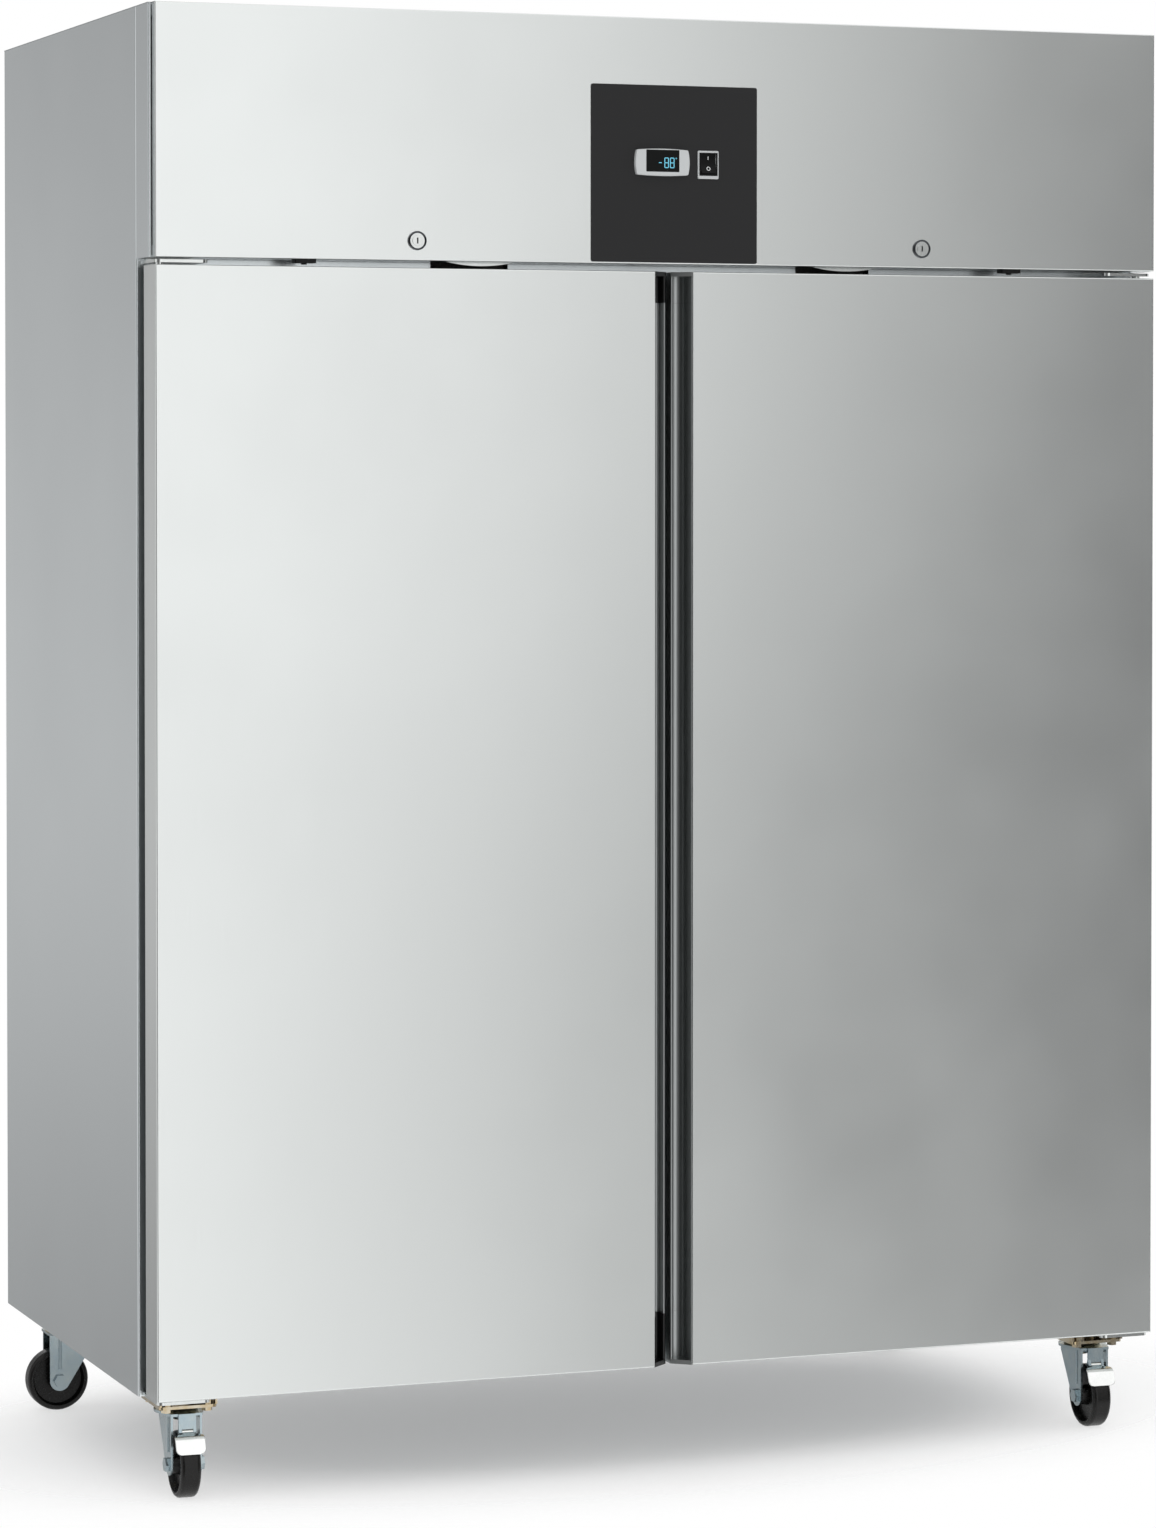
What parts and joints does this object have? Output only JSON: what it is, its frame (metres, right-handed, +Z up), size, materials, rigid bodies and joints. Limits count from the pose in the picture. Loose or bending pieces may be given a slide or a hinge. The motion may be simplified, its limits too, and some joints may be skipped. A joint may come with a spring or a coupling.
{
  "type": "commercial refrigerator",
  "caption": "Upright stainless steel commercial refrigerator with full-height hinged doors, a recessed grip between them, a cooling unit above and swivel castors.",
  "frame": {"origin": "on the floor under the middle of the cabinet's outline", "axes": "+X to the right seen from the front, +Y from the doors to the back, +Z up"},
  "size_m": [1.48, 0.846, 2],
  "materials": {
    "stainless_sheet": "fine brushed grain, satin",
    "door_sheet": "fine vertical grain, satin",
    "liner_sheet": "plain rolled, satin",
    "galvanised_sheet": "zinc coated sheet",
    "zinc_plate": "bright zinc plated",
    "castor_zinc": "bright zinc plated, slightly yellow",
    "fork_zinc": "blue zinc plated",
    "grip_profile": "satin",
    "plate_black": "matt powder coat",
    "black_plastic": "fine moulded texture",
    "bezel_plastic": "light grey, fine moulded texture",
    "display_window": "smooth, dark tint",
    "rocker_plastic": "semi gloss",
    "foam": "rigid polyurethane foam",
    "gasket_rubber": "soft extruded profile",
    "bush_plastic": "nylon",
    "coated_wire": "plastic coated wire",
    "fins": "bare fin stock",
    "fan_plastic": "moulded",
    "motor_metal": "cast and painted",
    "compressor_paint": "black gloss enamel",
    "copper": "bare drawn copper tube",
    "wheel_rubber": "solid moulded, satin"
  },
  "bodies": {
    "cabinet": {"side_panels": "stainless_sheet", "back_panel": "galvanised_sheet", "bottom_panel": "galvanised_sheet", "front_frame": "stainless_sheet", "mullion": "stainless_sheet", "insulation": "foam", "inner_liner": "liner_sheet", "shelf_uprights": "liner_sheet", "shelf_runners": "liner_sheet", "wire_shelves": "coated_wire", "evaporator_cover": "liner_sheet", "evaporator": "fins", "fan_motors": "motor_metal", "unit_tray": "galvanised_sheet", "top_cover": "galvanised_sheet", "compressor": "compressor_paint", "condenser": "fins", "refrigerant_pipes": "copper", "electrical_box": "black_plastic", "cable_gland": "black_plastic", "fascia": "stainless_sheet", "fascia_frame": "stainless_sheet", "control_plate": "plate_black", "controller_bezel": "bezel_plastic", "controller_window": "display_window", "switch_frame": "bezel_plastic", "lock_bodies": "zinc_plate", "door_switches": "black_plastic", "hinge_brackets": "zinc_plate", "castor_plates": "castor_zinc", "castor_mounts": "castor_zinc"},
    "door_left": {"door_left_skin": "door_sheet", "door_left_core": "foam", "door_left_liner": "liner_sheet", "door_left_gasket": "gasket_rubber", "door_left_grip": "grip_profile", "door_left_bushes": "bush_plastic"},
    "door_right": {"door_right_skin": "door_sheet", "door_right_core": "foam", "door_right_liner": "liner_sheet", "door_right_gasket": "gasket_rubber", "door_right_grip": "grip_profile", "door_right_bushes": "bush_plastic"},
    "lock_plug_left": {"lock_cylinder_left": "zinc_plate"},
    "lock_plug_right": {"lock_cylinder_right": "zinc_plate"},
    "latch_plate_left": {"latch_left": "zinc_plate"},
    "latch_plate_right": {"latch_right": "zinc_plate"},
    "rocker": {"power_rocker": "rocker_plastic"},
    "condenser_rotor": {"condenser_fan": "fan_plastic"},
    "evaporator_rotor": {"evaporator_fan": "fan_plastic"},
    "swivel_front_left": {"castor_fork_front_left": "fork_zinc"},
    "wheel_front_left": {"castor_wheel_front_left": "wheel_rubber"},
    "brake_front_left": {"castor_pedal_front_left": "castor_zinc"},
    "swivel_front_right": {"castor_fork_front_right": "fork_zinc"},
    "wheel_front_right": {"castor_wheel_front_right": "wheel_rubber"},
    "brake_front_right": {"castor_pedal_front_right": "castor_zinc"},
    "swivel_back_left": {"castor_fork_back_left": "fork_zinc"},
    "wheel_back_left": {"castor_wheel_back_left": "wheel_rubber"},
    "swivel_back_right": {"castor_fork_back_right": "fork_zinc"},
    "wheel_back_right": {"castor_wheel_back_right": "wheel_rubber"}
  },
  "joints": [
    {"name": "door_left_hinge", "type": "hinge", "parent": "cabinet", "child": "door_left", "pos_m": [-0.721, -0.385, 0.9], "axis": [0, 0, -1], "range_deg": [0, 110]},
    {"name": "lock_left_turn", "type": "hinge", "parent": "cabinet", "child": "lock_plug_left", "pos_m": [-0.3715, -0.415, 1.69], "axis": [0, 1, 0], "range_deg": [0, 90]},
    {"name": "latch_left_drop", "type": "slide", "parent": "cabinet", "child": "latch_plate_left", "axis": [0, 0, -1], "range_m": [0, 0.012]},
    {"name": "door_right_hinge", "type": "hinge", "parent": "cabinet", "child": "door_right", "pos_m": [0.721, -0.385, 0.9], "axis": [0, 0, 1], "range_deg": [0, 110]},
    {"name": "lock_right_turn", "type": "hinge", "parent": "cabinet", "child": "lock_plug_right", "pos_m": [0.3715, -0.415, 1.69], "axis": [0, -1, 0], "range_deg": [0, 90]},
    {"name": "latch_right_drop", "type": "slide", "parent": "cabinet", "child": "latch_plate_right", "axis": [0, 0, -1], "range_m": [0, 0.012]},
    {"name": "rocker_tilt", "type": "hinge", "parent": "cabinet", "child": "rocker", "pos_m": [0.049, -0.411, 1.8004], "axis": [1, 0, 0], "range_deg": [0, 16]},
    {"name": "condenser_fan_spin", "type": "hinge", "parent": "cabinet", "child": "condenser_rotor", "pos_m": [0.25, 0.24, 1.8257], "axis": [0, 1, 0], "continuous": true},
    {"name": "evaporator_fan_spin", "type": "hinge", "parent": "cabinet", "child": "evaporator_rotor", "pos_m": [0, -0.06, 1.55], "axis": [0, 0, 1], "continuous": true},
    {"name": "castor_front_left_swivel", "type": "hinge", "parent": "cabinet", "child": "swivel_front_left", "pos_m": [-0.677, -0.31, 0.112], "axis": [0, 0, 1], "continuous": true},
    {"name": "castor_front_left_roll", "type": "hinge", "parent": "swivel_front_left", "child": "wheel_front_left", "pos_m": [-0.67773, -0.33799, 0.045], "axis": [0.9997, -0.0262, 0], "continuous": true},
    {"name": "brake_front_left_pedal", "type": "hinge", "parent": "swivel_front_left", "child": "brake_front_left", "pos_m": [-0.6782, -0.35598, 0.091], "axis": [-0.9997, 0.0262, 0], "range_deg": [0, 28]},
    {"name": "castor_front_right_swivel", "type": "hinge", "parent": "cabinet", "child": "swivel_front_right", "pos_m": [0.677, -0.31, 0.112], "axis": [0, 0, 1], "continuous": true},
    {"name": "castor_front_right_roll", "type": "hinge", "parent": "swivel_front_right", "child": "wheel_front_right", "pos_m": [0.67627, -0.33799, 0.045], "axis": [0.9997, -0.0262, 0], "continuous": true},
    {"name": "brake_front_right_pedal", "type": "hinge", "parent": "swivel_front_right", "child": "brake_front_right", "pos_m": [0.6758, -0.35598, 0.091], "axis": [-0.9997, 0.0262, 0], "range_deg": [0, 28]},
    {"name": "castor_back_left_swivel", "type": "hinge", "parent": "cabinet", "child": "swivel_back_left", "pos_m": [-0.667, 0.297, 0.112], "axis": [0, 0, 1], "continuous": true},
    {"name": "castor_back_left_roll", "type": "hinge", "parent": "swivel_back_left", "child": "wheel_back_left", "pos_m": [-0.695, 0.297, 0.045], "axis": [0, -1, 0], "continuous": true},
    {"name": "castor_back_right_swivel", "type": "hinge", "parent": "cabinet", "child": "swivel_back_right", "pos_m": [0.667, 0.297, 0.112], "axis": [0, 0, 1], "continuous": true},
    {"name": "castor_back_right_roll", "type": "hinge", "parent": "swivel_back_right", "child": "wheel_back_right", "pos_m": [0.63943, 0.29214, 0.045], "axis": [0.1736, -0.9848, 0], "continuous": true}
  ],
  "couplings": [
    {"joint": "lock_left_turn", "follows": "latch_left_drop", "rad_per_m": 130.9},
    {"joint": "lock_right_turn", "follows": "latch_right_drop", "rad_per_m": 130.9}
  ]
}
